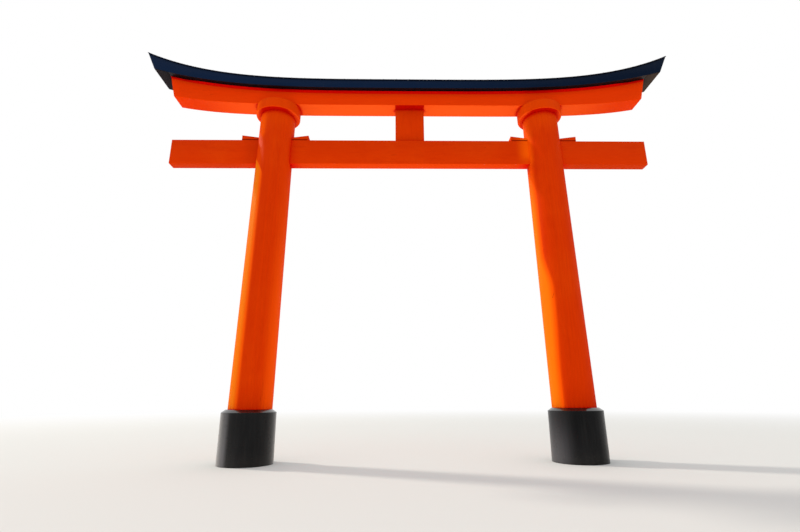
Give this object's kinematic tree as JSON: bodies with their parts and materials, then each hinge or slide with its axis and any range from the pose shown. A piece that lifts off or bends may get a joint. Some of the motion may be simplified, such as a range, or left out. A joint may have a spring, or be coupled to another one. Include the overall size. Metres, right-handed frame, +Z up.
{
  "type": "torii gate",
  "caption": "Large vermilion timber torii gate with black base drums, a wedged tie beam, a centre strut and a double lintel swept up at its ends.",
  "frame": {"origin": "on the ground, midway between the two pillars", "axes": "+X along the beams to the right as seen from the front, +Y towards the back, +Z up"},
  "size_m": [17.0828, 1.4516, 12.6208],
  "materials": {
    "vermilion_paint": "satin vermilion paint on timber",
    "black_paint": "satin black paint on timber",
    "roof_sheet": "dark painted sheet"
  },
  "bodies": {
    "root": {"left_base_drum": "black_paint", "right_base_drum": "black_paint", "left_base_lid": "black_paint", "right_base_lid": "black_paint", "left_pillar": "vermilion_paint", "right_pillar": "vermilion_paint", "left_ring_capital": "vermilion_paint", "right_ring_capital": "vermilion_paint", "tie_beam": "vermilion_paint", "left_outer_wedge": "vermilion_paint", "left_inner_wedge": "vermilion_paint", "right_inner_wedge": "vermilion_paint", "right_outer_wedge": "vermilion_paint", "centre_strut": "vermilion_paint", "lower_lintel": "vermilion_paint", "upper_lintel": "black_paint", "front_roof_cover": "roof_sheet", "back_roof_cover": "roof_sheet", "ridge_cap": "roof_sheet"}
  },
  "joints": []
}
